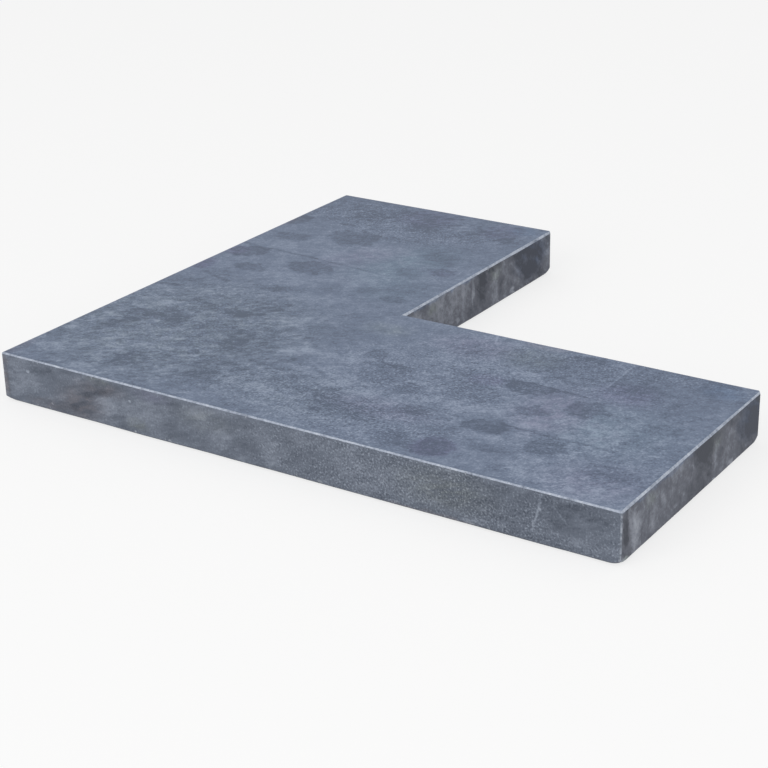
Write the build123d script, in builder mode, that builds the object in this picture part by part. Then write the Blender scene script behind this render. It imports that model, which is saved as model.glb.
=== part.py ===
from build123d import *
import os

# A pond edge corner stone: one L-shaped coping slab of honed bluestone, sawn from a single piece.
# It carries a stone edging round a corner of the pond, with the water in the notch of the L.
# Millimetres, +Z up. The origin is on the floor, under the middle of the slab's bounding
# rectangle, with the outer corner of the L at -X -Y and one leg along each axis.

# Driving sizes
front_leg_length = 470.0  # from the outer corner to the sawn end, along X
side_leg_length = 420.0  # from the outer corner to the sawn end, along Y
arm_width = 200.0  # width of both legs, the same as the straight stones of the edging
slab_thickness = 35.0
top_facet = 1.2  # 45 degree facet ground round the honed top face
bed_facet = 2.0  # 45 degree facet that eases the edges of the underside
corner_facet = 1.0  # 45 degree facet down the upright corners

# Where the two inner side faces meet
inner_corner = (arm_width - front_leg_length / 2, arm_width - side_leg_length / 2)

# The sawn outline: two legs that share the square at the outer corner
with BuildSketch() as sawn_outline:
    with Locations((-front_leg_length / 2, -side_leg_length / 2)):
        Rectangle(front_leg_length, arm_width, align=(Align.MIN, Align.MIN))
        Rectangle(arm_width, side_leg_length, align=(Align.MIN, Align.MIN))

# The inner corner is sawn square, and the five others are eased
with BuildSketch() as eased_outline:
    add(sawn_outline.sketch)
    outer_corners = eased_outline.vertices().sort_by_distance(inner_corner)[1:]
    chamfer(outer_corners, length=corner_facet)

with BuildPart() as corner_stone:
    extrude(sawn_outline.sketch, amount=slab_thickness)

    # The flat facets run round the whole outline and meet in a mitre at the inner corner
    top_face = corner_stone.faces().sort_by(Axis.Z)[-1]
    chamfer(top_face.outer_wire().edges(), length=top_facet)
    underside = corner_stone.faces().sort_by(Axis.Z)[0]
    chamfer(underside.outer_wire().edges(), length=bed_facet)

    # The upright facets are ground last, through the ends of the flat ones
    extrude(eased_outline.sketch, amount=slab_thickness, mode=Mode.INTERSECT)

corner_stone.part.label = "corner_stone"

os.makedirs("parts", exist_ok=True)
export_step(corner_stone.part, "parts/corner_stone.step")
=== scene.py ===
import math
import random
from itertools import chain
import bmesh
import bpy
import numpy as np
from mathutils import Matrix, Vector, noise
from mathutils.geometry import delaunay_2d_cdt


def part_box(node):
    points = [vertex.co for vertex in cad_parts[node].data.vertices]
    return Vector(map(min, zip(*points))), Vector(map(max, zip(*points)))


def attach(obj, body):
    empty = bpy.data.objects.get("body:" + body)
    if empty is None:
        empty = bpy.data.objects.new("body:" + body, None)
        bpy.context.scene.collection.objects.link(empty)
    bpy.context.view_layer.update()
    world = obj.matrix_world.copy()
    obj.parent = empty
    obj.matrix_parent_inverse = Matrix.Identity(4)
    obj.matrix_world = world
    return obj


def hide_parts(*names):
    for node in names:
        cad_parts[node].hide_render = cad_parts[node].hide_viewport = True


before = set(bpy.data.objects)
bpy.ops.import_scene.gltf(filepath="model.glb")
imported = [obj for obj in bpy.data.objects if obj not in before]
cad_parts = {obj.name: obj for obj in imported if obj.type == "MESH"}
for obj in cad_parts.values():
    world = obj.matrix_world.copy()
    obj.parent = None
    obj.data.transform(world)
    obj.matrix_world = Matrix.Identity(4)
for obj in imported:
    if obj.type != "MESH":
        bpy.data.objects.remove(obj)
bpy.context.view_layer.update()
stoneLow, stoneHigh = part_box("corner_stone")
mm = 0.001

# A honed bluestone coping slab, L-shaped, for the corner of a pond edge.
# The outer corner of the L is at -X -Y, and the camera sees the front leg from its sawn end.


# The slab's shape

slab = {
    "armWidth": 200 * mm,
    "topFacet": 1.2 * mm,
    "bedFacet": 2.0 * mm,
    "cornerEase": 1.0 * mm,
    "leastEase": 0.12 * mm,
    "easeTaper": 2.0,  # how fast the upright cut narrows further in
    "easeFan": 0.9,  # how fast its lines fan out past a flat facet
    "facetBlend": 16 * mm,  # how far from a corner a facet takes to reach its own width
    "wornReach": 7 * mm,  # how far from a corner the wear of its lower edge runs
    "facetLines": (0.67, 0.33),  # where the lines inside a facet run, as shares of its width
    "facetDrift": 0.224,  # how much the hand-ground facets wander in width
    "mostDrift": 1.25,
    "driftLength": 45 * mm,
    "topDriftSeed": 3.7,
    "bedDriftSeed": 8.2,
    "stationStep": 0.95 * mm,
    "sideRows": 15,
    "softening": 0.30 * mm,  # the slight rounding where a facet meets a face
    "softDip": 0.12,  # how far that rounding takes the edge itself in, as a share of it
    "rimWidth": 1.2 * mm,
    "topGrid": 3.4 * mm,
    "bedGrid": 6.0 * mm,
    "gridMargin": 4.0 * mm,
    "creaseAngle": math.radians(28),
}

finishNames = ["honedTop", "groundFacetAndSheen", "easedCorner", "sawnFront", "sawnEnd", "sawnBed"]

# The six corners of the L, counter-clockwise from the outer corner: the place, the finish of the side
# that starts there, then as shares how wide that side's top facet is, how much the upright corner is
# eased, and how much wider the lower edge is worn at it
innerX = stoneLow.x + slab["armWidth"]
innerY = stoneLow.y + slab["armWidth"]
corners = [
    (stoneLow.x, stoneLow.y, "sawnFront", 0.76, 0.8, 0.5),
    (stoneHigh.x, stoneLow.y, "sawnEnd", 1.0, 0.85, 0.9),
    (stoneHigh.x, innerY, "sawnFront", 1.35, 3.2, 1.3),
    (innerX, innerY, "sawnEnd", 1.15, 0.0, 0.0),
    (innerX, stoneHigh.y, "sawnEnd", 1.0, 3.0, 1.3),
    (stoneLow.x, stoneHigh.y, "sawnFront", 0.85, 1.0, 0.5),
]
cornerCount = len(corners)
innerCorner = 3

# One upright facet, as shares of its setback along the edge before it and the edge after it
easeShape = [(1.0, 0.06), (0.72, 0.30), (0.5, 0.5), (0.30, 0.72), (0.06, 1.0)]


def sideDirections():
    here = np.array([c[:2] for c in corners])
    along = np.roll(here, -1, axis=0) - here
    lengths = np.linalg.norm(along, axis=1)
    along = along / lengths[:, None]
    inward = np.stack([-along[:, 1], along[:, 0]], axis=1)
    return here, along, inward, lengths


def easeAt(corner, inset, pastFacet):
    # The upright cut takes less off the outline further in, and its lines fan out over the flat faces
    if corner == innerCorner:
        return 0
    left = corners[corner][4] * slab["cornerEase"] - slab["easeTaper"] * (inset - pastFacet)
    return max(left, slab["leastEase"]) + slab["easeFan"] * pastFacet


def outlineAt(insets, pastFacet=0.0):
    # The L's outline, station by station, each station moved inwards by its own inset
    here, along, inward, lengths = sideDirections()
    points = []

    def offsetCorner(k, inset):
        return here[k] + inset * (inward[k - 1] + inward[k])

    for k in range(cornerCount):
        after = (k + 1) % cornerCount
        steps = round(lengths[k] / slab["stationStep"])
        # The inner corner has one station only, which is the first of the side that starts there
        for i in range(steps if after == innerCorner else steps + 1):
            inset = insets[len(points)]
            start = offsetCorner(k, inset) + along[k] * easeAt(k, inset, pastFacet)
            end = offsetCorner(after, inset) - along[k] * easeAt(after, inset, pastFacet)
            points.append(start + (end - start) * i / steps)
        if after == innerCorner:
            continue
        for back, forth in easeShape:
            inset = insets[len(points)]
            gap = easeAt(after, inset, pastFacet)
            points.append(offsetCorner(after, inset) - along[k] * gap * back + along[after] * gap * forth)
    return np.array(points)


def stationTable():
    # For each station, the finish of the side below it, its side's share of the top facet's width,
    # and how much wider the lower edge is worn
    lengths = sideDirections()[3]
    finishes = []
    shares = []
    wear = []
    for k in range(cornerCount):
        after = (k + 1) % cornerCount
        own = corners[k][3]
        atStart = (own + corners[k - 1][3]) / 2
        atEnd = (own + corners[after][3]) / 2
        steps = round(lengths[k] / slab["stationStep"])
        for i in range(steps if after == innerCorner else steps + 1):
            fromStart = min(1, lengths[k] * i / steps / slab["facetBlend"])
            fromEnd = min(1, lengths[k] * (1 - i / steps) / slab["facetBlend"])
            finishes.append(finishNames.index(corners[k][2]))
            blend = (atStart - own) * (1 - fromStart) ** 2 + (atEnd - own) * (1 - fromEnd) ** 2
            shares.append(own + blend)
            nearStart = max(0, 1 - lengths[k] * i / steps / slab["wornReach"])
            nearEnd = max(0, 1 - lengths[k] * (1 - i / steps) / slab["wornReach"])
            wear.append(1 + corners[k][5] * nearStart ** 2 + corners[after][5] * nearEnd ** 2)
        if after != innerCorner:
            finishes[-1] = finishNames.index("easedCorner")
            finishes += [finishes[-1]] * len(easeShape)
            shares += [atEnd] * len(easeShape)
            wear += [1 + corners[after][5]] * len(easeShape)
    return finishes, np.array(shares), np.array(wear)


stationFinish, facetShare, lowerWear = stationTable()
stationCount = len(stationFinish)
middleLine = outlineAt(np.zeros(stationCount))


def drift(seed):
    # A slow wander of the facet's width along the outline
    values = []
    for x, y in middleLine:
        place = Vector((x, y, 0)) / slab["driftLength"] + Vector((0, 0, seed))
        values.append(1 + slab["facetDrift"] * noise.noise(place))
    return np.minimum(np.array(values), slab["mostDrift"])


def ringRows():
    # The slab's section from the top face round to the underside, row by row: inset, height, finish,
    # distance past the facet
    top = stoneHigh.z
    topWidth = slab["topFacet"] * facetShare * drift(slab["topDriftSeed"])
    bedWidth = slab["bedFacet"] * drift(slab["bedDriftSeed"]) * lowerWear
    soft = slab["softening"]
    dip = slab["softDip"] * soft
    rim = slab["rimWidth"]
    level = np.zeros(stationCount)
    rows = [
        (topWidth + rim, top + level, "honedTop", rim),
        (topWidth + soft, top + level, "honedTop", soft),
        (topWidth, top - dip + level, "groundFacetAndSheen", 0),
    ]
    for share in slab["facetLines"]:
        rows.append((topWidth * share, top - topWidth * (1 - share), "groundFacetAndSheen", 0))
    rows.append((dip + level, top - topWidth, "groundFacetAndSheen", 0))
    sideTop = top - topWidth - soft
    sideBottom = bedWidth + soft
    for i in range(slab["sideRows"] + 1):
        share = i / slab["sideRows"]
        rows.append((level, sideTop + (sideBottom - sideTop) * share, "side", 0))
    rows.append((dip + level, bedWidth, "bedFacet", 0))
    for share in slab["facetLines"]:
        rows.append((bedWidth * (1 - share), bedWidth * share, "bedFacet", 0))
    rows += [
        (bedWidth, dip + level, "bedFacet", 0),
        (bedWidth + soft, level, "sawnBed", soft),
        (bedWidth + rim, level, "sawnBed", rim),
    ]
    return rows


def rowFinish(upper, lower, station):
    if upper == "honedTop":
        return finishNames.index("honedTop")
    if upper == lower == "groundFacetAndSheen":
        return finishNames.index("groundFacetAndSheen")
    if lower == "sawnBed":
        return finishNames.index("sawnBed")
    return stationFinish[station]


def insideGrid(step):
    # Points over the L's flat face, clear of its edge strips
    margin = slab["gridMargin"]
    points = []
    for x in np.arange(stoneLow.x + margin, stoneHigh.x - margin, step):
        for y in np.arange(stoneLow.y + margin, stoneHigh.y - margin, step):
            if x < innerX - margin or y < innerY - margin:
                points.append(Vector((x, y)))
    return points


def fillFace(mesh, rim, height, step, faceUp, finish):
    # Closes the top or the underside with small triangles between the rim and a grid of points
    flat = [Vector((v.co.x, v.co.y)) for v in rim]
    outline = [list(range(len(flat)))]
    inside = 1  # the kind of filling that stays within the outline
    tolerance = 1e-7
    filled = delaunay_2d_cdt(flat + insideGrid(step), [], outline, inside, tolerance)
    points, _, faces, sources, _, _ = filled
    verts = []
    for point, source in zip(points, sources):
        if source and source[0] < len(flat):
            verts.append(rim[source[0]])
        else:
            verts.append(mesh.verts.new((point.x, point.y, height)))
    for face in faces:
        made = mesh.faces.new([verts[i] for i in face])
        made.material_index = finishNames.index(finish)
        made.normal_update()
        if (made.normal.z > 0) != faceUp:
            made.normal_flip()


def buildSlab():
    mesh = bmesh.new()
    rows = ringRows()
    rings = []
    for inset, height, _, pastFacet in rows:
        outline = outlineAt(inset, pastFacet)
        rings.append([mesh.verts.new((x, y, z)) for (x, y), z in zip(outline, height)])
    for r in range(len(rows) - 1):
        for i in range(stationCount):
            j = (i + 1) % stationCount
            face = mesh.faces.new((rings[r][i], rings[r + 1][i], rings[r + 1][j], rings[r][j]))
            face.material_index = rowFinish(rows[r][2], rows[r + 1][2], i)
    fillFace(mesh, rings[0], stoneHigh.z, slab["topGrid"], True, "honedTop")
    fillFace(mesh, rings[-1], stoneLow.z, slab["bedGrid"], False, "sawnBed")
    return mesh


# Wear along the edges: small shell-shaped chips

chips = {
    "seed": 11,
    "topCount": 34,
    "bedCount": 80,
    "uprightCount": 12,
    "smallest": 0.35 * mm,
    "largest": 1.5 * mm,
    "sizeBias": 3,  # the higher, the rarer a large chip
    "bite": 0.40,  # depth as a share of the chip's radius
    "lean": 0.35,  # how steeply a chip on the top or lower edge is struck, up or down
    "placedLean": 0.9,
    "topStrike": 0.8,  # how far down the top facet a chip is struck
    "roughness": 0.18,
    "roughSize": 0.9 * mm,
    "placed": [  # the nicks that show along the front edge: x, radius
        (54 * mm, 0.9 * mm),
        (128 * mm, 0.9 * mm),
        (154 * mm, 1.1 * mm),
    ],
}


def chipList():
    draw = random.Random(chips["seed"])
    found = []
    inward = np.roll(middleLine, -1, axis=0) - np.roll(middleLine, 1, axis=0)
    inward = np.stack([-inward[:, 1], inward[:, 0]], axis=1)
    inward /= np.linalg.norm(inward, axis=1)[:, None]

    def add(station, height, lean, radius):
        out = Vector((-inward[station][0], -inward[station][1], lean)).normalized()
        edge = Vector((middleLine[station][0], middleLine[station][1], height))
        found.append((edge + out * radius * (1 - chips["bite"]), radius))

    def size():
        share = draw.random() ** chips["sizeBias"]
        return chips["smallest"] + (chips["largest"] - chips["smallest"]) * share

    topEdge = stoneHigh.z - slab["topFacet"] * chips["topStrike"]
    for _ in range(chips["topCount"]):
        add(draw.randrange(stationCount), topEdge, chips["lean"], size())
    for _ in range(chips["bedCount"]):
        add(draw.randrange(stationCount), slab["bedFacet"], -chips["lean"], size())
    eased = finishNames.index("easedCorner")
    uprights = [i for i in range(stationCount) if stationFinish[i] == eased]
    for _ in range(chips["uprightCount"]):
        height = slab["bedFacet"] + draw.random() * (stoneHigh.z - slab["bedFacet"] - slab["topFacet"])
        add(draw.choice(uprights), height, 0.0, size())
    for x, radius in chips["placed"]:
        away = np.hypot(middleLine[:, 0] - x, middleLine[:, 1] - stoneLow.y)
        add(int(away.argmin()), stoneHigh.z, chips["placedLean"], radius)
    return found


def biteChips(mesh):
    # Points inside a chip's sphere are pushed onto it, and remember that they are freshly broken
    fresh = mesh.verts.layers.float.new("freshBreak")
    verts = list(mesh.verts)
    places = np.array([v.co for v in verts])
    for centre, radius in chipList():
        away = places - np.array(centre)
        near = np.nonzero(np.linalg.norm(away, axis=1) < radius * (1 + chips["roughness"]))[0]
        for i in near:
            ray = Vector(away[i])
            reach = radius * (1 + chips["roughness"] * noise.noise(verts[i].co / chips["roughSize"]))
            if ray.length < reach:
                verts[i].co = centre + ray.normalized() * reach
                verts[i][fresh] = 1.0


# The honed top still follows the stone's grain a little, and the sawn underside isn't quite flat

relief = {
    "lumpSize": 11 * mm,
    "lumpDepth": 0.13 * mm,
    "lumpLevel": 0.35,  # the higher, the more of the top lies low
    "fineLumps": (2.3, 0.4),  # how much finer and how strong the second set is
    "lumpFade": 12 * mm,  # how far from the edges the lumps come in
    "lumpyMiddle": (-150 * mm, -110 * mm),
    "lumpyReach": 110 * mm,
    "lumpyFade": 1.5,
    "leastLumps": 0.2,  # what is left of them elsewhere
    "bedHollow": 0.30 * mm,
    "bedLevel": 0.5,  # its mean depth, as a share
    "bedWaves": [(70 * mm, 0.5), (12 * mm, 0.15)],  # size, and height as a share
}


def fromEdge(x, y):
    # How far a place on the flat top is from the L's outline
    away = min(x - stoneLow.x, stoneHigh.x - x, y - stoneLow.y, stoneHigh.y - y)
    if x > innerX:
        return min(away, innerY - y)
    if y > innerY:
        return min(away, innerX - x)
    return min(away, math.hypot(innerX - x, innerY - y))


def lumpTop(mesh):
    # Shallow lumps in the honed top, deepest round the outer corner and gone at the edges
    middleX, middleY = relief["lumpyMiddle"]
    least = relief["leastLumps"]
    finer, fineShare = relief["fineLumps"]
    for v in mesh.verts:
        if v.co.z > stoneHigh.z - 0.01 * mm:
            fade = min(1, max(0, fromEdge(v.co.x, v.co.y)) / relief["lumpFade"])
            away = math.hypot(v.co.x - middleX, v.co.y - middleY) / relief["lumpyReach"]
            share = least + (1 - least) * min(1, max(0, relief["lumpyFade"] - away))
            place = v.co / relief["lumpSize"]
            lump = relief["lumpLevel"] + noise.noise(place) + fineShare * noise.noise(place * finer)
            v.co.z -= max(0, lump) * share * fade * relief["lumpDepth"]


def hollowBed(mesh):
    # The underside touches the floor at its high spots only
    for v in mesh.verts:
        if v.co.z < slab["bedFacet"] / 2:
            waves = sum(share * noise.noise(v.co / size) for size, share in relief["bedWaves"])
            v.co.z += max(0, relief["bedLevel"] + waves) * relief["bedHollow"]


def makeStone():
    mesh = buildSlab()
    lumpTop(mesh)
    biteChips(mesh)
    hollowBed(mesh)
    for v in mesh.verts:
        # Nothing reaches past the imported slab's box
        v.co = [min(max(c, low), high) for c, low, high in zip(v.co, stoneLow, stoneHigh)]
    for face in mesh.faces:
        face.smooth = True
    mesh.normal_update()
    for edge in mesh.edges:
        edge.smooth = edge.calc_face_angle(0) < slab["creaseAngle"]
    data = bpy.data.meshes.new("bluestoneSlab")
    mesh.to_mesh(data)
    mesh.free()
    stone = bpy.data.objects.new("bluestone_slab", data)
    bpy.context.scene.collection.objects.link(stone)
    return stone


stone = makeStone()
print("stone:", len(stone.data.polygons), "faces,", stationCount, "stations round the edge")


# Node helpers

def srgb(*paint):
    # Red, green and blue as a paint program gives them, 0 to 255, to the linear colour that a shader wants
    channels = []
    for value in paint:
        share = value / 255
        channels.append(share / 12.92 if share <= 0.04045 else ((share + 0.055) / 1.055) ** 2.4)
    return (*channels, 1.0)


def plug(tree, node, sockets):
    # Each socket takes either another node's output or a plain value
    for name, value in sockets.items():
        if isinstance(value, bpy.types.NodeSocket):
            tree.links.new(value, node.inputs[name])
        else:
            node.inputs[name].default_value = value


def addNode(tree, kind, sockets=None, **settings):
    node = tree.nodes.new(kind)
    for name, value in settings.items():
        setattr(node, name, value)
    plug(tree, node, sockets or {})
    return node


def doMath(tree, operation, first, second=0.0, third=0.0):
    node = addNode(tree, "ShaderNodeMath", {0: first, 1: second, 2: third}, operation=operation)
    return node.outputs[0]


def vectorMath(tree, operation, first, second=None):
    sockets = {0: first} if second is None else {0: first, 1: second}
    node = addNode(tree, "ShaderNodeVectorMath", sockets, operation=operation)
    return node.outputs["Value" if operation in ("LENGTH", "DOT_PRODUCT") else "Vector"]


def mapRange(tree, value, low, high, toLow=0.0, toHigh=1.0, smooth=True):
    # The smooth kind keeps within its range by itself, and without a clamp it costs the renderer less
    kind = "SMOOTHSTEP" if smooth else "LINEAR"
    sockets = {"Value": value, "From Min": low, "From Max": high, "To Min": toLow, "To Max": toHigh}
    node = addNode(tree, "ShaderNodeMapRange", sockets, interpolation_type=kind, clamp=not smooth)
    return node.outputs["Result"]


def mixColour(tree, factor, first, second):
    # A mix node has a set of sockets for each kind of value, and its colours are numbers 6, 7 and 2
    node = addNode(tree, "ShaderNodeMix", data_type="RGBA")
    plug(tree, node, {0: factor, 6: first, 7: second})
    return node.outputs[2]


def turbulence(tree, vector, size, **sockets):
    # A noise whose largest features are of about the given size
    scale = doMath(tree, "DIVIDE", 1.0, size)
    node = addNode(tree, "ShaderNodeTexNoise", {"Vector": vector, "Scale": scale})
    plug(tree, node, {name.capitalize(): value for name, value in sockets.items()})
    return node.outputs


def newGroup(name, inputs, outputs):
    group = bpy.data.node_groups.new(name, "ShaderNodeTree")
    for label, kind, default in inputs:
        socket = group.interface.new_socket(name=label, in_out="INPUT", socket_type="NodeSocket" + kind)
        if default is not None:
            socket.default_value = default
    for label, kind in outputs:
        group.interface.new_socket(name=label, in_out="OUTPUT", socket_type="NodeSocket" + kind)
    return group, group.nodes.new("NodeGroupInput").outputs, group.nodes.new("NodeGroupOutput")


def placeGroup(tree, group, **sockets):
    node = addNode(tree, "ShaderNodeGroup", node_tree=group)
    plug(tree, node, {name[0].upper() + name[1:]: value for name, value in sockets.items()})
    return node.outputs


# Effects that the finishes share, and the ranges of noise that they turn into masks

effects = {
    "cloudRange": (0.25, 0.75),  # the noise seldom leaves this
    "cloudRoughness": 0.6,
    "cloudShift": Vector((0.31, 0.17, 0.19)),  # sets one size of clouds apart from the next
    "flakeEdge": 0.05,  # how soft the edge of a flake is
    "flakeShift": Vector((0.23, 0.41, 0.0)),
    "paleGrain": (0.52, 0.72),  # where a crystal begins to show, and where it shows fully
    "darkGrain": (0.48, 0.30),
    "crumbSize": 1.111 * mm,  # of the broken stone in a chip
    "brokenRange": (0.35, 0.75),
    "marksThinned": 0.8,  # how strongly the rag thins marks
    "tintRag": (-0.15, 0.15),  # the rag that leaves least of a tint, and the rag that leaves all of it
    "leastTint": 0.4,
    "straightUpTo": 1.7,  # thicker lines than this, in mm, are drawn ragged
}


def makeWander():
    # Shifts a position a little this way and that, so that what is drawn with it gets uneven edges
    inputs = [("Vector", "Vector", None), ("Size", "Float", 0.02), ("Amount", "Float", 0.004)]
    group, given, result = newGroup("wander", inputs, [("Vector", "Vector")])
    cloud = turbulence(group, given["Vector"], given["Size"], detail=3.0)
    centred = vectorMath(group, "SUBTRACT", cloud["Color"], (0.5, 0.5, 0.5))
    shift = addNode(group, "ShaderNodeVectorMath", {0: centred}, operation="SCALE")
    plug(group, shift, {"Scale": given["Amount"]})
    plug(group, result, {"Vector": vectorMath(group, "ADD", given["Vector"], shift.outputs["Vector"])})
    return group


def makeClouds():
    # Soft mottling from -1 to 1, with blotches of the given size
    inputs = [
        ("Vector", "Vector", None),
        ("Size", "Float", 0.03),
        ("Detail", "Float", 3.0),
        ("Roughness", "Float", 0.55),
        ("Twist", "Float", 0.0),
        ("Place", "Vector", (0.0, 0.0, 0.0)),
    ]
    group, given, result = newGroup("clouds", inputs, [("Value", "Float")])
    cloud = turbulence(
        group,
        vectorMath(group, "ADD", given["Vector"], given["Place"]),
        given["Size"],
        detail=given["Detail"],
        roughness=given["Roughness"],
        distortion=given["Twist"],
    )
    centred = mapRange(group, cloud["Fac"], *effects["cloudRange"], -1.0, 1.0, smooth=False)
    plug(group, result, {"Value": centred})
    return group


def makeFlakes():
    # Scattered irregular patches with crisp edges, the fewer the higher the level they start at
    inputs = [
        ("Vector", "Vector", None),
        ("Size", "Float", 0.02),
        ("Level", "Float", 0.57),
        ("Place", "Vector", (0.0, 0.0, 0.0)),
    ]
    group, given, result = newGroup("flakes", inputs, [("Mask", "Float")])
    moved = vectorMath(group, "ADD", given["Vector"], given["Place"])
    cloud = turbulence(group, moved, given["Size"], detail=5.0, roughness=0.6, distortion=0.3)
    full = doMath(group, "ADD", given["Level"], effects["flakeEdge"])
    plug(group, result, {"Mask": mapRange(group, cloud["Fac"], given["Level"], full)})
    return group


def makeGrain():
    # Stone grain: pale crystals, dark specks between them, and the height that goes with both
    inputs = [("Vector", "Vector", None), ("Size", "Float", 0.0012)]
    outputs = [("Pale", "Float"), ("Dark", "Float"), ("Height", "Float")]
    group, given, result = newGroup("grain", inputs, outputs)
    height = turbulence(group, given["Vector"], given["Size"], detail=2.0, roughness=0.6)["Fac"]
    pale = mapRange(group, height, *effects["paleGrain"])
    dark = mapRange(group, height, *effects["darkGrain"])
    plug(group, result, {"Pale": pale, "Dark": dark, "Height": height})
    return group


def makePatch():
    # A round or long patch, 1 in its middle and 0 outside, its edge made ragged by a value that varies
    inputs = [
        ("Vector", "Vector", None),
        ("Centre", "Vector", (0.0, 0.0, 0.0)),
        ("HalfSize", "Vector", (0.02, 0.015, 0.01)),
        ("Turn", "Float", 0.0),
        ("Softness", "Float", 0.3),
        ("Rag", "Float", 0.0),
    ]
    group, given, result = newGroup("patch", inputs, [("Mask", "Float")])
    away = vectorMath(group, "SUBTRACT", given["Vector"], given["Centre"])
    turned = addNode(group, "ShaderNodeVectorRotate", rotation_type="Z_AXIS")
    plug(group, turned, {"Vector": away, "Angle": given["Turn"]})
    shares = vectorMath(group, "DIVIDE", turned.outputs["Vector"], given["HalfSize"])
    distance = doMath(group, "ADD", vectorMath(group, "LENGTH", shares), given["Rag"])
    outer = doMath(group, "ADD", 1.0, given["Softness"])
    inner = doMath(group, "SUBTRACT", 1.0, given["Softness"])
    plug(group, result, {"Mask": mapRange(group, distance, outer, inner)})
    return group


def makeHairline():
    # A fine line from one place to another, fading at its edges and ends
    inputs = [
        ("Vector", "Vector", None),
        ("Start", "Vector", (0.0, 0.0, 0.0)),
        ("End", "Vector", (0.1, 0.0, 0.0)),
        ("Thickness", "Float", 0.001),
    ]
    group, given, result = newGroup("hairline", inputs, [("Mask", "Float")])
    line = vectorMath(group, "SUBTRACT", given["End"], given["Start"])
    away = vectorMath(group, "SUBTRACT", given["Vector"], given["Start"])
    reach = vectorMath(group, "DOT_PRODUCT", away, line)
    share = doMath(group, "DIVIDE", reach, vectorMath(group, "DOT_PRODUCT", line, line))
    share = doMath(group, "MAXIMUM", doMath(group, "MINIMUM", share, 1.0), 0.0)
    foot = addNode(group, "ShaderNodeVectorMath", {0: line}, operation="SCALE")
    plug(group, foot, {"Scale": share})
    distance = vectorMath(group, "LENGTH", vectorMath(group, "SUBTRACT", away, foot.outputs["Vector"]))
    plug(group, result, {"Mask": mapRange(group, distance, given["Thickness"], 0.0)})
    return group


def makeEdgeChips():
    # Where a chip has been knocked off, from the mesh's own record of it
    group, given, result = newGroup("edgeChips", [("Vector", "Vector", None)], [("Mask", "Float")])
    broken = addNode(group, "ShaderNodeAttribute", attribute_name="freshBreak")
    crumbs = turbulence(group, given["Vector"], effects["crumbSize"], detail=2.0)
    centred = doMath(group, "SUBTRACT", crumbs["Fac"], 0.5)
    ragged = doMath(group, "ADD", broken.outputs["Fac"], centred)
    plug(group, result, {"Mask": mapRange(group, ragged, *effects["brokenRange"])})
    return group


wander = makeWander()
clouds = makeClouds()
flakes = makeFlakes()
grain = makeGrain()
patch = makePatch()
hairline = makeHairline()
edgeChips = makeEdgeChips()
print("effects: seven shared groups")


def startFinish(name, look):
    material = bpy.data.materials.new(name)
    material.use_nodes = True
    tree = material.node_tree
    place = addNode(tree, "ShaderNodeTexCoord").outputs["Object"]
    speckle = placeGroup(tree, grain, vector=place, size=look["grainSize"])
    return material, tree, place, speckle


def addUp(tree, *sources):
    # The sum of strength times mask. Each mask's nodes are made only when their turn comes to be added,
    # because the renderer can't hold all of them at once
    total = 0.0
    for strength, mask in chain(*sources):
        total = doMath(tree, "MULTIPLY_ADD", mask, strength, total)
    return total


def toneRamp(tree, look, steps, tint=None):
    # Turns paint steps darker or lighter into a colour, round the look's middle tone or a tint
    tones = look["tones"]
    if tint:
        tones = [tuple(t * c / m for t, c, m in zip(tint, tone, tones[1])) for tone in tones]
    share = mapRange(tree, steps, -look["reach"], look["reach"], smooth=False)
    ramp = addNode(tree, "ShaderNodeValToRGB", {"Fac": share})
    stops = ramp.color_ramp.elements
    stops[0].color = tones[0]
    stops[1].color = tones[2]
    stops.new(0.5).color = tones[1]
    return ramp.outputs["Color"]


def tintedTones(tree, look, steps, rag, places, masksOf):
    # The look's tones, and over them the same tones round each tint, in the places listed for it.
    # A tint is thinner where the rag is low
    colour = toneRamp(tree, look, steps)
    for name, tint in look["tints"].items():
        strength = addUp(tree, masksOf([place[:-1] for place in places if place[-1] == name]))
        thinned = mapRange(tree, rag, *effects["tintRag"], effects["leastTint"], 1.0)
        share = mapRange(tree, doMath(tree, "MULTIPLY", strength, thinned), 0.0, 1.0, smooth=False)
        colour = mixColour(tree, share, colour, toneRamp(tree, look, steps, tint))
    return colour


def addGrain(tree, look, speckle, share=1.0):
    # The grain's pale and dark parts, both scaled by how pebbly the place is
    for part, name in (("paleGrain", "Pale"), ("darkGrain", "Dark")):
        yield look[part], doMath(tree, "MULTIPLY", share, speckle[name])


def addClouds(tree, look, parts, vector, twist=0.4):
    for i, part in enumerate(parts):
        size, strength = look[part]
        cloud = placeGroup(
            tree,
            clouds,
            vector=vector,
            size=size,
            roughness=effects["cloudRoughness"],
            twist=twist,
            place=effects["cloudShift"] * i + Vector((size, 0, 0)),
        )
        yield strength, cloud["Value"]


def addFlakes(tree, look, vector, share=1.0):
    for i, part in enumerate(("darkFlakes", "paleFlakes")):
        size, level, strength = look[part]
        away = effects["flakeShift"] * i
        mask = placeGroup(tree, flakes, vector=vector, size=size, level=level, place=away)["Mask"]
        yield strength, doMath(tree, "MULTIPLY", mask, share)


def makeRag(tree, look, place):
    # How far the edges of patches are pushed in and out, as a share of their size
    size, amount = look["rag"]
    cloud = placeGroup(tree, clouds, vector=place, size=size, detail=4.0)["Value"]
    return doMath(tree, "MULTIPLY", cloud, amount)


def unevenly(tree, total, rag):
    # The same sum, thinner where the rag is high
    share = doMath(tree, "MULTIPLY_ADD", rag, -effects["marksThinned"], 1.0)
    return doMath(tree, "MULTIPLY", total, share)


def stretch(tree, place, scale, turn=(0, 0, 0)):
    # A position measured in turned axes and squeezed along them, so that what it draws comes out long
    sockets = {"Vector": place, "Rotation": turn, "Scale": scale}
    return addNode(tree, "ShaderNodeMapping", sockets, vector_type="TEXTURE").outputs["Vector"]


def roam(tree, look, part, place):
    size, amount = look[part]
    return placeGroup(tree, wander, vector=place, size=size, amount=amount)["Vector"]


brokenStone = srgb(146, 152, 163)


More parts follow.
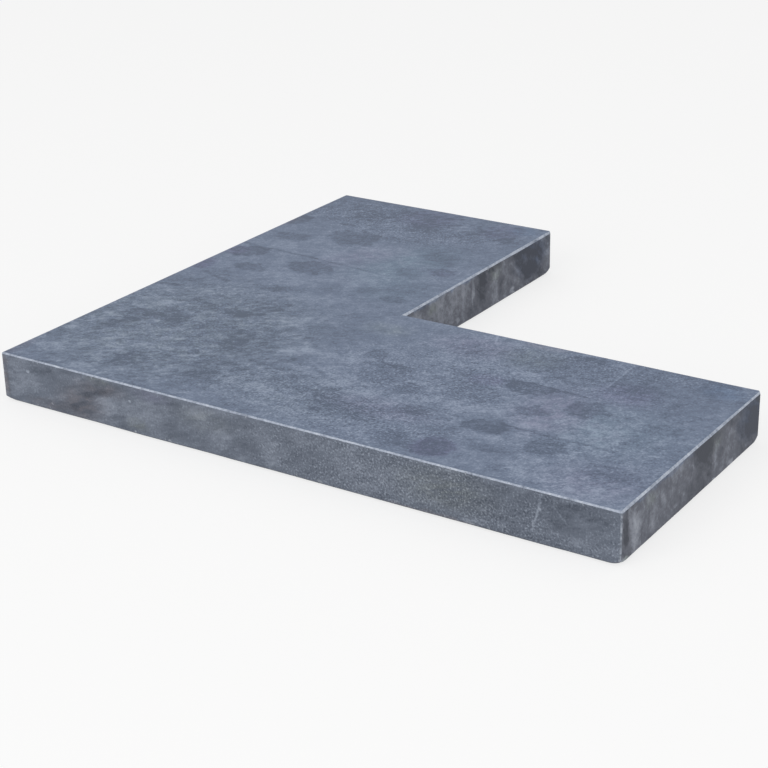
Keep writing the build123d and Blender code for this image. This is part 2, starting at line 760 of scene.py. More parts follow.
def dressShader(tree, look, place, colour, steps, height):
    # Broken edges over the colour, roughness that follows the tone, and the fine relief
    broken = placeGroup(tree, edgeChips, vector=place)["Mask"]
    bump = addNode(tree, "ShaderNodeBump", {
        "Strength": look["bump"],
        "Distance": look["relief"],
        "Height": height,
    })
    reach = look["reach"]
    plug(tree, tree.nodes["Principled BSDF"], {
        "Base Color": mixColour(tree, broken, colour, brokenStone),
        "Roughness": mapRange(tree, steps, -reach, reach, *look["roughness"], smooth=False),
        "Normal": bump.outputs["Normal"],
    })


# The honed top: blue-grey, clouded, with dark round blotches left by the quarry bed

topLook = {
    "tones": [srgb(66, 81, 106), srgb(107, 121, 145), srgb(148, 160, 182)],
    "reach": 38,  # paint steps from the middle tone to either end
    "tints": {
        "grey": srgb(107, 121, 141),
        "purple": srgb(109, 116, 146),
        # on the top, the blue tint is painted sheen near the far corners
        "blue": srgb(100, 120, 149),
        "brown": srgb(109, 116, 137),
        "teal": srgb(104, 123, 145),
        "mauve": srgb(111, 119, 145),
        "olive": srgb(107, 121, 137),
    },
    "cloudTurn": math.radians(33),
    "cloudStretch": 1.5,
    "broadClouds": (120 * mm, 10.0),  # size and strength in paint steps
    "middleClouds": (34 * mm, 9.0),
    "lumpClouds": (38 * mm, 14.0),
    "smallClouds": (13 * mm, 22.0),
    "fineClouds": (4 * mm, 32.0),
    "darkFlakes": (20 * mm, 0.56, -8.0),  # size, level and paint steps
    "paleFlakes": (15 * mm, 0.59, 8.0),
    "calmShare": 0.45,  # how much of the small clouding the calm parts keep
    "rag": (9 * mm, 0.33),  # size and amount
    "patchWander": (14 * mm, 6 * mm),
    "lineWander": (9 * mm, 4.5 * mm),
    "grainShare": (0.45, 1.2),  # how much of the grain shows in the plain parts and in the pebbly ones
    "grainSize": 1.5 * mm,
    "paleGrain": 44.0,
    "darkGrain": -32.0,
    "roughness": (0.54, 0.72),
    "bump": 0.35,
    "relief": 0.10 * mm,
}

# Dark blotches: x, y, length and width in mm, turn in degrees, softness, paint steps
darkBlotches = [
    (-161, 116, 42, 36, 0, 0.15, -29),
    (-152, 40, 38, 30, -5, 0.2, -31),
    (-208, 95, 34, 17, -8, 0.3, -23),
    (-218, 48, 34, 24, -15, 0.2, -31),
    (-194, 18, 30, 16, -10, 0.3, -24),
    (-147, -12, 28, 13, -12, 0.3, -26),
    (-228, 131, 18, 20, 0, 0.2, -20),
    (-229, 6, 14, 26, 0, 0.2, -20),
    (-186, 142, 12, 6, 0, 0.3, -28),
    (-228, 142, 12, 7, 0, 0.3, -26),
    (-72, 104, 42, 24, 25, 0.5, -18),
    (-61, 79, 22, 15, 0, 0.3, -22),
    (-82, 67, 28, 16, 0, 0.4, -14),
    (-55, 169, 14, 20, 0, 0.3, -20),
    (-137, 187, 48, 42, 0, 0.3, -12),
    (-67, 187, 34, 36, 0, 0.4, -12),
    (-58, 12, 24, 12, 0, 0.3, -22),
    (-86, 18, 18, 14, 0, 0.3, -18),
    (-62, 38, 36, 28, 0, 0.4, -10),
    (-180, 172, 40, 30, -60, 0.4, -14),
    (-110, 160, 44, 14, 10, 0.4, -10),
    (-221, -44, 30, 6, -8, 0.3, -28),
    (-212, -28, 14, 9, 0, 0.3, -20),
    (-127, -55, 42, 13, -59, 0.35, -28),
    (-138, -71, 14, 12, 0, 0.6, -18),
    (-182, -94, 38, 18, 20, 0.5, -22),
    (-170, -102, 20, 16, 0, 0.6, -14),
    (-204, -110, 20, 26, 0, 0.6, -20),
    (-108, -112, 18, 46, -14, 0.5, -26),
    (-155, -176, 20, 34, 10, 0.5, -28),
    (-187, -182, 20, 26, 0, 0.6, -20),
    (-92, -172, 20, 32, 12, 0.5, -20),
    (-121, -143, 11, 9, 0, 0.3, -26),
    (-47, -122, 18, 11, 0, 0.3, -20),
    (-100, -124, 60, 5, 4, 0.4, -12),
    (-197, -130, 44, 8, -12, 0.4, -14),
    (-10, -83, 18, 17, 0, 0.15, -26),
    (9, -108, 46, 34, 5, 0.2, -19),
    (18, -95, 32, 9, 5, 0.2, -10),
    (60, -80, 36, 15, 0, 0.3, -18),
    (75, -107, 46, 36, 5, 0.2, -12),
    (106, -83, 33, 20, -8, 0.15, -34),
    (154, -94, 27, 26, 0, 0.2, -28),
    (127, -113, 24, 15, -10, 0.2, -25),
    (39, -121, 20, 18, 0, 0.25, -27),
    (-29, -154, 32, 34, 0, 0.2, -17),
    (-2, -154, 22, 19, 0, 0.25, -27),
    (17, -171, 42, 28, 0, 0.25, -20),
    (60, -150, 24, 13, 0, 0.3, -21),
    (111, -149, 32, 19, -5, 0.15, -31),
    (157, -156, 26, 25, 0, 0.2, -28),
    (130, -175, 26, 13, -8, 0.3, -21),
    (100, -190, 30, 24, 0, 0.2, -30),
    (72, -190, 24, 22, 0, 0.4, -20),
    (147, -196, 16, 11, 0, 0.4, -18),
    (117, -19, 24, 10, -8, 0.25, -26),
    (213, -14, 22, 10, 0, 0.3, -18),
    (165, -52, 36, 30, 0, 0.4, -13),
    (207, -98, 20, 16, 0, 0.3, -14),
    (201, -124, 16, 34, 0, 0.4, -11),
    (216, -171, 18, 15, 0, 0.3, -17),
    (200, -166, 18, 16, 0, 0.4, -13),
    (110, -40, 90, 36, 8, 0.4, -11),
    (-150, -215, 160, 24, 0, 0.5, -9),
    (-150, 184, 200, 72, 0, 0.6, -8),
    (-215, 178, 60, 70, 0, 0.6, -5),
    (-225, -45, 60, 36, 0, 0.6, -6),
    (165, -43, 140, 60, 0, 0.6, -10),
    (0, -46, 60, 34, 0, 0.6, -6),
    (-98, -120, 80, 110, 0, 0.7, -7),
    (218, -50, 40, 60, 0, 0.6, -4),
]

# Pale hazes in the same way
paleHazes = [
    (-128, 85, 90, 46, 0, 0.5, 8),
    (-185, 70, 70, 30, 0, 0.5, 8),
    (-110, 35, 40, 60, 30, 0.6, 6),
    (-92, -61, 28, 18, -20, 0.4, 13),
    (-133, -76, 8, 6, 0, 0.4, 28),
    (-55, -103, 46, 14, -8, 0.4, 14),
    (-204, -86, 28, 14, -20, 0.4, 14),
    (-215, -114, 18, 16, 0, 0.4, 15),
    (-84, -139, 24, 10, 10, 0.4, 12),
    (-117, -147, 7, 6, 0, 0.4, 24),
    (-45, -169, 30, 14, -20, 0.4, 11),
    (-178, -160, 30, 10, 20, 0.4, 12),
    (-219, -184, 24, 18, 0, 0.5, 9),
    (-170, -202, 60, 10, 5, 0.5, 10),
    (-18, -98, 34, 10, 50, 0.3, 13),
    (97, -66, 23, 14, 0, 0.25, 18),
    (86, -129, 26, 16, 0, 0.3, 12),
    (20, -140, 24, 10, -15, 0.3, 12),
    (56, -170, 26, 10, 0, 0.4, 10),
    (8, -190, 50, 14, -10, 0.4, 12),
    (180, -140, 70, 60, 0, 0.5, 7),
    (178, -190, 60, 24, 0, 0.5, 9),
    (35, -62, 60, 20, 10, 0.6, 8),
    (140, -132, 40, 10, -5, 0.4, 10),
    (-205, 104, 70, 40, 0, 0.6, 9),
    (-85, -20, 100, 46, 0, 0.6, 7),
    (65, -118, 130, 64, 0, 0.6, 9),
    (8, -166, 64, 44, 0, 0.6, 7),
    (150, -182, 70, 34, 0, 0.6, 8),
    (210, -195, 50, 34, 0, 0.6, 7),
    (-222, -130, 36, 110, 0, 0.6, 5),
    (178, -118, 50, 34, 0, 0.5, 4),
]

# Tinted places: x, y, length, width, turn, softness, strength, tint
tintedPlaces = [
    (-160, -115, 200, 190, 0, 0.4, 1.0, "grey"),
    (-20, -170, 110, 70, 0, 0.5, 0.5, "grey"),
    (-229, 6, 16, 26, 0, 0.3, 1.0, "purple"),
    (-232, 128, 8, 24, 0, 0.4, 0.9, "brown"),
    (-226, 46, 18, 20, -10, 0.3, 0.9, "purple"),
    (-137, 187, 50, 44, 0, 0.4, 0.6, "purple"),
    (-61, 79, 24, 18, 0, 0.5, 0.8, "purple"),
    (-68, 187, 30, 34, 0, 0.5, 0.7, "purple"),
    # the two blue places, at the far corners of the legs, are painted sheen: the sky's bluish reflection
    # on the honed top
    (-52, 196, 24, 20, 0, 0.5, 0.7, "blue"),
    (216, -26, 30, 22, 10, 0.5, 0.8, "blue"),
    (100, -190, 30, 26, 0, 0.2, 1.0, "purple"),
    (75, -84, 24, 18, 0, 0.4, 0.8, "purple"),
    (165, -62, 40, 34, 0, 0.5, 0.7, "purple"),
    (82, -14, 30, 10, -5, 0.4, 0.9, "brown"),
    (-232, -195, 12, 30, 0, 0.5, 0.9, "brown"),
    (178, -116, 90, 70, 0, 0.6, 0.6, "teal"),
    (-95, 84, 70, 90, 20, 0.5, 0.9, "teal"),
    (-70, 30, 50, 50, 0, 0.6, 0.6, "teal"),
    (136, -108, 44, 70, -10, 0.5, 0.9, "mauve"),
    (40, -38, 60, 34, 0, 0.6, 0.8, "mauve"),
    (40, -158, 70, 26, 0, 0.6, 0.7, "mauve"),
    (-130, 82, 34, 70, 30, 0.6, 0.7, "mauve"),
    (205, -185, 60, 44, 0, 0.6, 0.6, "mauve"),
    (84, -36, 44, 34, 0, 0.6, 0.7, "olive"),
    (-30, -40, 34, 20, 0, 0.6, 0.7, "olive"),
]

# Where the surface is pebbly with pale grains: x, y, length, width, turn, softness, and a share if
# that isn't all of it
pebblyPlaces = [
    (-188, 172, 90, 56, 0, 0.5),
    (-120, 150, 110, 44, -10, 0.6),
    (95, -48, 170, 60, 8, 0.5, 0.6),
    (185, -150, 100, 130, 0, 0.5, 0.4),
    (40, -100, 130, 80, 10, 0.6),
    (-20, -165, 120, 60, 0, 0.7),
    (40, -175, 110, 60, 0, 0.6),
    (-160, -100, 140, 150, 20, 0.6, 0.5),
    (150, -20, 140, 24, 0, 0.6, 0.6),
]

# Where the clouding is strongest, in the same way
cloudedPlaces = [
    (-160, -120, 210, 190, 0, 0.3),
    (-50, -165, 80, 80, 0, 0.5, 0.5),
    (90, -45, 200, 70, 0, 0.5, 0.3),
    (55, -130, 190, 130, 0, 0.4, 0.3),
    (190, -140, 90, 140, 0, 0.4, 0.4),
    (-140, 180, 210, 50, 0, 0.5, 0.8),
]

# Fine lines: start x, y, end x, y, thickness in mm, paint steps
fineLines = [
    (-205, 61, -160, 59, 3.2, -26),
    (-160, 59, -98, 53, 2.8, -20),
    (-234, 64, -208, 58, 4.0, -26),
    (-140, 132, -104, 131, 3.0, -12),
    (118, -140, 150, -142, 3.0, -30),
    (150, -142, 196, -141, 2.8, -24),
    (118, -75, 146, -77, 2.0, -24),
    (72, -79, 96, -79, 2.0, -16),
    (60, -142, 96, -145, 2.0, -16),
    (0, -95, 24, -97, 2.0, -16),
    (0, -162, 34, -163, 2.2, -16),
    (-36, -122, -20, -132, 3.0, -20),
    (-216, -8, -190, -16, 4.0, -20),
    (-175, -62, -130, -70, 4.0, -12),
    (42, -12, 48, -25, 1.4, 34),
    (147, -14, 148, -55, 1.4, 22),
    (174, -154, 179, -152, 1.8, 34),
    (216, -136, 221, -135, 1.6, 30),
    (150, -194, 154, -191, 2.2, 34),
    (200, -192, 214, -178, 1.3, -22),
    (206, -193, 217, -182, 1.3, -22),
    (212, -192, 220, -184, 1.3, -18),
    (-120, -132, -60, -136, 2.6, -12),
    (-72, -96, -30, -120, 4.0, -10),
]


def topPatches(tree, place, rag, entries):
    # Each entry's patch with its own strength, or 1, lying on the level top
    for x, y, length, width, turn, softness, *strength in entries:
        mask = placeGroup(
            tree,
            patch,
            vector=place,
            centre=(x * mm, y * mm, stoneHigh.z),
            halfSize=(length * mm / 2, width * mm / 2, 1.0),
            turn=math.radians(turn),
            softness=softness,
            rag=rag,
        )["Mask"]
        yield strength[0] if strength else 1.0, mask


def topLines(tree, straight, ragged):
    for startX, startY, endX, endY, thickness, strength in fineLines:
        mask = placeGroup(
            tree,
            hairline,
            vector=ragged if thickness > effects["straightUpTo"] else straight,
            start=(startX * mm, startY * mm, stoneHigh.z),
            end=(endX * mm, endY * mm, stoneHigh.z),
            thickness=thickness * mm,
        )["Mask"]
        yield strength, mask


def finishHonedTop():
    look = topLook
    material, tree, place, speckle = startFinish("honedTop", look)
    along = stretch(tree, place, (look["cloudStretch"], 1, 1), (0, 0, look["cloudTurn"]))
    uneven = roam(tree, look, "patchWander", place)
    ragged = roam(tree, look, "lineWander", place)
    rag = makeRag(tree, look, place)

    def patches(entries):
        return topPatches(tree, uneven, rag, entries)

    pebbly = addUp(tree, patches(pebblyPlaces))
    grainShare = mapRange(tree, pebbly, 0.0, 1.0, *look["grainShare"], smooth=False)
    clouded = addUp(tree, patches(cloudedPlaces))
    cloudShare = mapRange(tree, clouded, 0.0, 1.0, look["calmShare"], 1.0, smooth=False)
    small = addUp(
        tree,
        addClouds(tree, look, ["lumpClouds"], place),
        addClouds(tree, look, ("smallClouds", "fineClouds"), along),
        addFlakes(tree, look, along),
    )
    blotches = addUp(tree, patches(darkBlotches), patches(paleHazes))
    steps = addUp(
        tree,
        [(1.0, doMath(tree, "MULTIPLY", small, cloudShare)), (1.0, unevenly(tree, blotches, rag))],
        addClouds(tree, look, ("broadClouds", "middleClouds"), along),
        topLines(tree, place, ragged),
        addGrain(tree, look, speckle, grainShare),
    )
    colour = tintedTones(tree, look, steps, rag, tintedPlaces, patches)
    dressShader(tree, look, place, colour, steps, speckle["Height"])
    return material


# The ground edges: pale where the stone was cut last, with darker scuffs. Their pale blue-white tones are
# partly the freshly ground stone and partly a painted highlight, the sky's sheen on the facets

facetAndSheenLook = {
    # these pale tones hold a painted highlight as well as the ground stone's own paleness
    "tones": [srgb(112, 121, 138), srgb(172, 181, 197), srgb(206, 213, 224)],
    "reach": 40,
    "middleClouds": (13 * mm, 26.0),
    "smallClouds": (3 * mm, 26.0),
    "grainSize": 0.9 * mm,
    "paleGrain": 6.0,
    "darkGrain": -24.0,
    "roughness": (0.66, 0.78),
    "bump": 0.5,
    "relief": 0.08 * mm,
}

# The upright corners were eased in the same way, but are darker and more mottled
cornerLook = {
    **facetAndSheenLook,
    "tones": [srgb(74, 80, 92), srgb(120, 127, 139), srgb(168, 175, 187)],
    "middleClouds": (11 * mm, 44.0),
    "smallClouds": (3 * mm, 36.0),
    "paleGrain": 10.0,
    "darkGrain": -20.0,
}


def finishEdge(name, look):
    material, tree, place, speckle = startFinish(name, look)
    steps = addUp(
        tree,
        addClouds(tree, look, ("middleClouds", "smallClouds"), place, twist=0.0),
        addGrain(tree, look, speckle),
    )
    dressShader(tree, look, place, toneRamp(tree, look, steps), steps, speckle["Height"])
    return material


# The sawn sides: greyer than the top, speckled on the front and streaked on the ends

markDepth = 30 * mm  # how far into the stone the marks on them reach

frontLook = {
    "tones": [srgb(59, 67, 81), srgb(103, 111, 125), srgb(148, 156, 170)],
    "reach": 44,
    "tints": {
        "brown": srgb(108, 107, 115),
        "olive": srgb(102, 109, 115),
        "violet": srgb(103, 108, 127),
    },
    "broadClouds": (70 * mm, 6.0),
    "middleClouds": (24 * mm, 8.0),
    "smallClouds": (8 * mm, 12.0),
    "fineClouds": (3.5 * mm, 12.0),
    "darkFlakes": (9 * mm, 0.57, -10.0),
    "paleFlakes": (8 * mm, 0.60, 7.0),
    "rag": (5 * mm, 0.5),
    "patchWander": (8 * mm, 6 * mm),
    "lineWander": (6 * mm, 2.5 * mm),
    "fibreTurn": math.radians(-16),
    "fibreStretch": 2.6,
    "grainSize": 1.4 * mm,
    "paleGrain": 57.0,
    "darkGrain": -40.0,
    "grainShare": (0.30, 1.0),  # how much of the grain shows where the face is plain, and where speckled
    "flakeShare": (1.0, 0.2),  # the flakes in the same way
    "roughness": (0.62, 0.84),
    "bump": 0.5,
    "relief": 0.25 * mm,
}

# Marks on the front: x, z, length and height in mm, softness, paint steps
frontMarks = [
    (-176, 5, 24, 9, 0.7, -12),
    (-166, 11, 20, 12, 0.7, -16),
    (-158, 18, 18, 9, 0.7, -16),
    (-148, 25, 20, 7, 0.6, -15),
    (-137, 31, 24, 5, 0.5, -14),
    (-199, 28, 26, 7, 0.4, -12),
    (-212, 25.5, 2.4, 2.4, 0.4, 60),
    (-122, 23.5, 2.4, 2.4, 0.4, 60),
    (-191, 5.5, 2.8, 1.8, 0.4, 46),
    (-222, 17, 16, 18, 0.4, 9),
    (-144, 14, 18, 14, 0.3, 12),
    (-118, 14, 18, 18, 0.5, 7),
    (-46, 14, 18, 14, 0.3, 8),
    (-59, 27, 24, 8, 0.5, 8),
    (-78, 10, 30, 10, 0.5, -9),
    (-30, 18, 20, 24, 0.5, -9),
    (-8, 12, 14, 20, 0.4, 6),
    (20, 16, 34, 20, 0.6, -5),
    (130, 18, 60, 30, 0.5, -8),
    (138, 3.5, 14, 3, 0.4, 22),
    (145, 6, 36, 6, 0.5, 8),
    (216, 9, 26, 8, 0.5, 14),
    (196, 24, 26, 16, 0.4, -14),
    (214, 29, 22, 9, 0.4, -12),
    (100, 30, 34, 7, 0.5, -9),
    (224, 16, 12, 22, 0.5, -8),
    (184, 18, 64, 44, 0.6, -9),
    (158, 20, 40, 40, 0.6, -4),
    (-122, 12, 44, 26, 0.6, 5),
    (78, 10, 70, 22, 0.6, 3),
]

# Tinted places on the front: x, z, length and height in mm, softness, strength, tint
frontTints = [
    (-233, 18, 6, 34, 0.5, 1.0, "brown"),
    (-165, 12, 34, 22, 0.8, 0.9, "brown"),
    (-145, 27, 34, 10, 0.7, 0.8, "brown"),
    (-148, 32, 20, 5, 0.5, 1.0, "olive"),
    (-116, 8, 16, 9, 0.6, 0.9, "olive"),
    (-60, 24, 40, 14, 0.7, 0.5, "olive"),
    (120, 20, 60, 24, 0.7, 0.8, "olive"),
    (-104, 31, 30, 9, 0.5, 0.8, "violet"),
    (-196, 5, 30, 8, 0.6, 0.6, "brown"),
    (110, 1, 60, 4, 0.5, 1.0, "brown"),
]

# Veins on the front: start x, z, end x, z, thickness in mm, paint steps
frontVeins = [
    (184, 33, 183, 24, 1.6, 26),
    (183, 24, 178, 9, 1.6, 38),
    (192, 27, 200, 19, 1.4, 24),
    (-160, 19, -127, 31, 3.4, -14),
    (-178, 21, -156, 27, 2.4, -13),
    (-225, 22, -190, 30, 1.6, -12),
    (-100, 26, -78, 30, 1.6, -12),
    (-232, 30, -230, 4, 2.0, -14),
]

# Where the front is speckled, and the smooth places in that: x, z, length, height, softness, strength
speckledPlaces = [
    (110, 18, 240, 60, 0.4, 0.9),
    (118, 18, 70, 40, 0.5, 0.3),
    (155, 28, 50, 14, 0.5, -0.5),
    (203, 20, 36, 20, 0.5, -0.6),
    (112, 4, 50, 8, 0.5, -0.5),
    (30, 24, 50, 16, 0.5, -0.3),
]

endLook = {
    "tones": [srgb(38, 44, 58), srgb(97, 101, 112), srgb(158, 163, 174)],
    "reach": 60,
    "tints": {
        "blue": srgb(90, 102, 124),
        "olive": srgb(97, 103, 107),
    },
    "broadClouds": (60 * mm, 12.0),
    "middleClouds": (20 * mm, 16.0),
    "smallClouds": (8 * mm, 17.0),
    "rag": (8 * mm, 0.5),
    "patchWander": (10 * mm, 8 * mm),
    "grainSize": 1.8 * mm,
    "paleGrain": 14.0,
    "darkGrain": -12.0,
    "slantStreaks": (6 * mm, 16.0),
    "slantTurn": math.radians(-38),
    "slantStretch": 3.5,
    "uprightStreaks": (6 * mm, 14.0),
    "uprightStretch": 6.0,
    "roughness": (0.60, 0.86),
    "bump": 0.5,
    "relief": 0.20 * mm,
}

# Marks on a sawn end: distance from its near corner, z, length and height in mm, softness, paint steps
endMarks = [
    (5.5, 20, 6, 30, 0.3, -48),
    (7, 2.5, 12, 6, 0.3, 44),
    (17, 16, 12, 40, 0.5, 20),
    (36, 20, 40, 34, 0.6, 12),
    (66, 8, 34, 12, 0.6, -10),
    (80, 20, 30, 30, 0.6, 6),
    (95, 22, 3.4, 20, 0.4, 34),
    (105, 29, 24, 17, 0.35, -40),
    (115, 24, 22, 26, 0.4, -36),
    (103, 17, 12, 14, 0.6, -18),
    (106, 8, 34, 22, 0.5, -26),
    (122, 33, 30, 10, 0.4, -26),
    (130, 20, 10, 20, 0.5, 16),
    (137, 18, 10, 8, 0.4, -22),
    (146, 9, 34, 16, 0.6, 4),
    (160, 33, 40, 8, 0.5, -22),
    (184, 25, 46, 28, 0.5, -52),
    (190, 8, 40, 18, 0.6, -34),
    (154, 5, 9, 4, 0.5, 34),
    (181, 5, 12, 4, 0.5, 34),
    (167, 17, 12, 6, 0.5, 16),
    (74, 8, 7, 3.4, 0.5, 34),
]

# Tinted places on a sawn end: distance, z, length and height in mm, softness, strength, tint
endTints = [
    (186, 24, 46, 30, 0.5, 1.0, "blue"),
    (70, 34, 60, 4, 0.5, 1.0, "blue"),
    (20, 34, 40, 4, 0.5, 0.8, "blue"),
    (128, 28, 20, 14, 0.5, 0.8, "olive"),
    (37, 27, 14, 9, 0.5, 0.8, "olive"),
    (7, 2.5, 14, 7, 0.5, 0.9, "olive"),
]

# The two sawn ends in view: the near corner's y, the face's x, and how much lighter it is, in paint steps.
# That last is painted light: the inner face, which stands in shade, is lifted and the outer end darkened
endPlanesAndLight = [(stoneLow.y, stoneHigh.x, -2.0), (innerY, innerX, 6.0)]
endHalfLength = 160 * mm  # reaches past the face, so that the patch's soft rim stays off it


def finishSawnFront():
    look = frontLook
    material, tree, place, speckle = startFinish("sawnFront", look)
    fibres = stretch(tree, place, (look["fibreStretch"], 1, 1), (0, look["fibreTurn"], 0))
    uneven = roam(tree, look, "patchWander", place)
    ragged = roam(tree, look, "lineWander", place)
    rag = makeRag(tree, look, fibres)
    frontY = stoneLow.y

    def stains(entries):
        for x, z, length, height, softness, strength in entries:
            mask = placeGroup(
                tree,
                patch,
                vector=uneven,
                centre=(x * mm, frontY, z * mm),
                halfSize=(length * mm / 2, markDepth, height * mm / 2),
                softness=softness,
                rag=rag,
            )["Mask"]
            yield strength, mask

    def veins():
        for startX, startZ, endX, endZ, thickness, strength in frontVeins:
            start = (startX * mm, frontY, startZ * mm)
            end = (endX * mm, frontY, endZ * mm)
            width = thickness * mm
            line = placeGroup(tree, hairline, vector=ragged, start=start, end=end, thickness=width)
            yield strength, line["Mask"]

    speckled = addUp(tree, stains(speckledPlaces))
    grainShare = mapRange(tree, speckled, 0.0, 1.0, *look["grainShare"], smooth=False)
    flakeShare = mapRange(tree, speckled, 0.0, 1.0, *look["flakeShare"], smooth=False)
    marks = addUp(tree, stains(frontMarks))
    steps = addUp(
        tree,
        [(1.0, unevenly(tree, marks, rag))],
        addClouds(tree, look, ("broadClouds", "middleClouds"), place),
        addClouds(tree, look, ("smallClouds", "fineClouds"), fibres),
        addFlakes(tree, look, fibres, flakeShare),
        veins(),
        addGrain(tree, look, speckle, grainShare),
    )
    colour = tintedTones(tree, look, steps, rag, frontTints, stains)
    dressShader(tree, look, place, colour, steps, speckle["Height"])
    return material


def finishSawnEnd():
    look = endLook
    material, tree, place, speckle = startFinish("sawnEnd", look)
    slanting = stretch(tree, place, (1, look["slantStretch"], 1), (look["slantTurn"], 0, 0))
    upright = stretch(tree, place, (1, 1, look["uprightStretch"]))
    uneven = roam(tree, look, "patchWander", place)
    rag = makeRag(tree, look, slanting)

    def stains(entries):
        for away, z, length, height, softness, strength in entries:
            for startY, planeX, _ in endPlanesAndLight:
                mask = placeGroup(
                    tree,
                    patch,
                    vector=uneven,
                    centre=(planeX, startY + away * mm, z * mm),
                    halfSize=(markDepth, length * mm / 2, height * mm / 2),
                    softness=softness,
                    rag=rag,
                )["Mask"]
                yield strength, mask

    # painted light: each sawn end is made lighter or darker as a whole, to set how lit it looks
    def paintedFaceLight():
        for startY, planeX, strength in endPlanesAndLight:
            face = placeGroup(
                tree,
                patch,
                vector=place,
                centre=(planeX, startY + slab["armWidth"] / 2, 0),
                halfSize=(markDepth, endHalfLength, 1),
                softness=0.2,
            )
            yield strength, face["Mask"]

    marks = addUp(tree, stains(endMarks))
    steps = addUp(
        tree,
        [(1.0, unevenly(tree, marks, rag))],
        addClouds(tree, look, ("broadClouds", "middleClouds", "smallClouds"), place),
        addClouds(tree, look, ["slantStreaks"], slanting),
        paintedFaceLight(),
        addClouds(tree, look, ["uprightStreaks"], upright, twist=0.0),
        addGrain(tree, look, speckle),
    )
    colour = tintedTones(tree, look, steps, rag, endTints, stains)
    dressShader(tree, look, place, colour, steps, speckle["Height"])
    return material


# The underside: rough from the gang saw, with its long straight marks

bedLook = {
    "tones": [srgb(76, 81, 90), srgb(106, 111, 120), srgb(140, 144, 152)],
    "reach": 32,
    "broadClouds": (80 * mm, 10.0),
    "middleClouds": (24 * mm, 14.0),
    "smallClouds": (8 * mm, 14.0),
    "grainSize": 1.4 * mm,
    "paleGrain": 20.0,
    "darkGrain": -14.0,
    "sawMarks": (2.6 * mm, 14.0),
    "sawStretch": 40.0,
    "heightShares": (0.5, 0.4),  # the grain's and the saw marks' shares in the relief
    "roughness": (0.76, 0.92),
    "bump": 0.7,
    "relief": 0.4 * mm,
}


def finishSawnBed():
    look = bedLook
    material, tree, place, speckle = startFinish("sawnBed", look)
    sawn = stretch(tree, place, (look["sawStretch"], 1, 1))
    size, strength = look["sawMarks"]
    marks = placeGroup(tree, clouds, vector=sawn, size=size)["Value"]
    steps = addUp(
        tree,
        addClouds(tree, look, ("broadClouds", "middleClouds", "smallClouds"), place),
        [(strength, marks)],
        addGrain(tree, look, speckle),
    )
    height = addUp(tree, zip(look["heightShares"], (speckle["Height"], marks)))
    dressShader(tree, look, place, toneRamp(tree, look, steps), steps, height)
    return material


for finish in (
    finishHonedTop(),
    finishEdge("groundFacetAndSheen", facetAndSheenLook),
    finishEdge("easedCorner", cornerLook),
    finishSawnFront(),
    finishSawnEnd(),
    finishSawnBed(),
):
    stone.data.materials.append(finish)
print("finishes:", ", ".join(finishNames))


# Camera

view = {
    "place": (0.6319, -1.0455, 0.5010),
    "turn": math.radians(33.525),
    "dip": math.radians(22.858),
    "roll": math.radians(-1.153),
    "lens": 86.71,
    "sensor": 36.0,
}


def makeCamera():
    data = bpy.data.cameras.new("camera")
    data.lens = view["lens"]
    data.sensor_width = view["sensor"]
    camera = bpy.data.objects.new("camera", data)
    turn = Matrix.Rotation(view["turn"], 4, "Z")
    tilt = Matrix.Rotation(math.pi / 2 - view["dip"], 4, "X")
    roll = Matrix.Rotation(view["roll"], 4, "Z")
    camera.matrix_world = Matrix.Translation(view["place"]) @ turn @ tilt @ roll
    bpy.context.scene.collection.objects.link(camera)
    bpy.context.scene.camera = camera


makeCamera()


# Studio: a white floor that keeps the shadow, and soft light from all round

studio = {
    "floorSize": 12.0,
    "floorDrop": 0.2 * mm,
    "floorAlbedo": 0.78,
    "floorGlow": 0.72,
    "skyStrength": 0.62,
    "aim": (0.0, 0.0, 0.02),
    "lamps": [
        ("keySoftbox", (-0.5, -2.3, 1.1), 1.6, 20.0, (1.0, 0.99, 0.98)),
        ("fillSoftbox", (2.2, -0.4, 0.9), 1.4, 10.0, (1.0, 0.99, 0.98)),
    ],
}


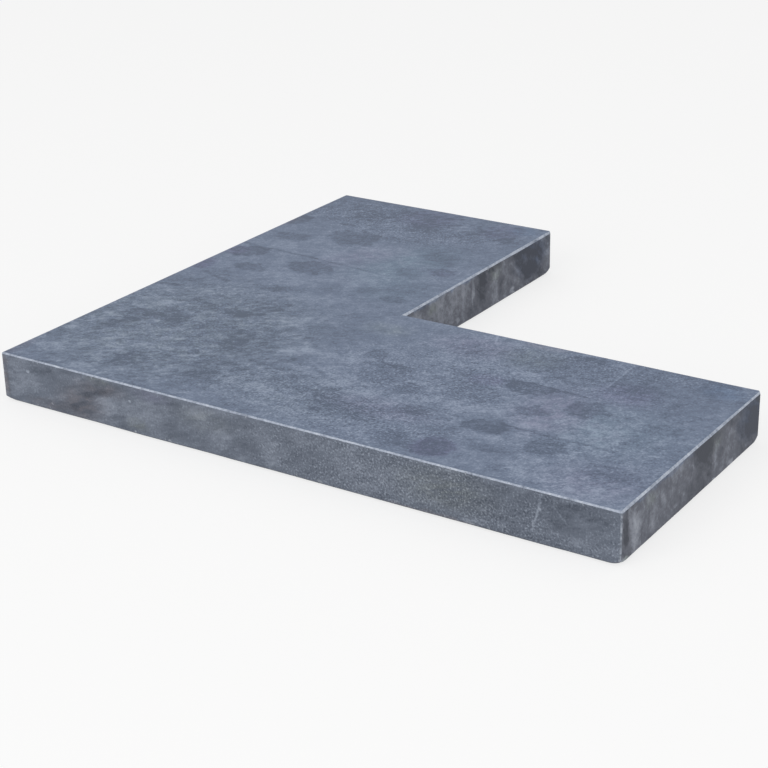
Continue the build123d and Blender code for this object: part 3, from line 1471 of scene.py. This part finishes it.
def makeFloor():
    half = studio["floorSize"] / 2
    rim = [(-half, -half, 0), (half, -half, 0), (half, half, 0), (-half, half, 0)]
    data = bpy.data.meshes.new("studioFloor")
    data.from_pydata(rim, [], [(0, 1, 2, 3)])
    floor = bpy.data.objects.new("studioFloor", data)
    floor.location.z = -studio["floorDrop"]
    bpy.context.scene.collection.objects.link(floor)
    material = bpy.data.materials.new("studioWhite")
    material.use_nodes = True
    tree = material.node_tree
    tree.nodes.clear()
    albedo = studio["floorAlbedo"]
    glow = studio["floorGlow"]
    paint = addNode(tree, "ShaderNodeBsdfDiffuse", {"Color": (albedo, albedo, albedo, 1)})
    dim = addNode(tree, "ShaderNodeBsdfDiffuse", {"Color": (1 - glow, 1 - glow, 1 - glow, 1)})
    lit = addNode(tree, "ShaderNodeEmission", {"Color": (1, 1, 1, 1), "Strength": glow})
    shown = addNode(tree, "ShaderNodeAddShader", {0: dim.outputs[0], 1: lit.outputs[0]})
    shades = {0: directlySeen(tree), 1: paint.outputs[0], 2: shown.outputs[0]}
    mix = addNode(tree, "ShaderNodeMixShader", shades)
    addNode(tree, "ShaderNodeOutputMaterial", {"Surface": mix.outputs[0]})
    data.materials.append(material)


def directlySeen(tree):
    # 1 where the camera sees the backdrop, straight or in a reflection, and 0 where it only gives light
    ray = addNode(tree, "ShaderNodeLightPath")
    seen = doMath(tree, "MAXIMUM", ray.outputs["Is Camera Ray"], ray.outputs["Is Glossy Ray"])
    return doMath(tree, "MAXIMUM", seen, ray.outputs["Is Transmission Ray"])


def makeSky():
    world = bpy.data.worlds.new("studioSky")
    world.use_nodes = True
    tree = world.node_tree
    tree.nodes.clear()
    strength = mapRange(tree, directlySeen(tree), 0.0, 1.0, studio["skyStrength"], 1.0, smooth=False)
    back = addNode(tree, "ShaderNodeBackground", {"Color": (1, 1, 1, 1), "Strength": strength})
    addNode(tree, "ShaderNodeOutputWorld", {"Surface": back.outputs[0]})
    bpy.context.scene.world = world


def makeLamps():
    for name, place, size, power, colour in studio["lamps"]:
        data = bpy.data.lights.new(name, "AREA")
        data.shape = "SQUARE"
        data.size = size
        data.energy = power
        data.color = colour
        lamp = bpy.data.objects.new(name, data)
        lamp.location = place
        aim = Vector(studio["aim"]) - Vector(place)
        lamp.rotation_euler = aim.to_track_quat("-Z", "Y").to_euler()
        bpy.context.scene.collection.objects.link(lamp)


makeFloor()
makeSky()
makeLamps()
bpy.context.scene.view_settings.view_transform = "Standard"
print("studio: floor, sky and", len(studio["lamps"]), "softboxes")

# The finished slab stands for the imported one
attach(stone, "root")
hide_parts("corner_stone")
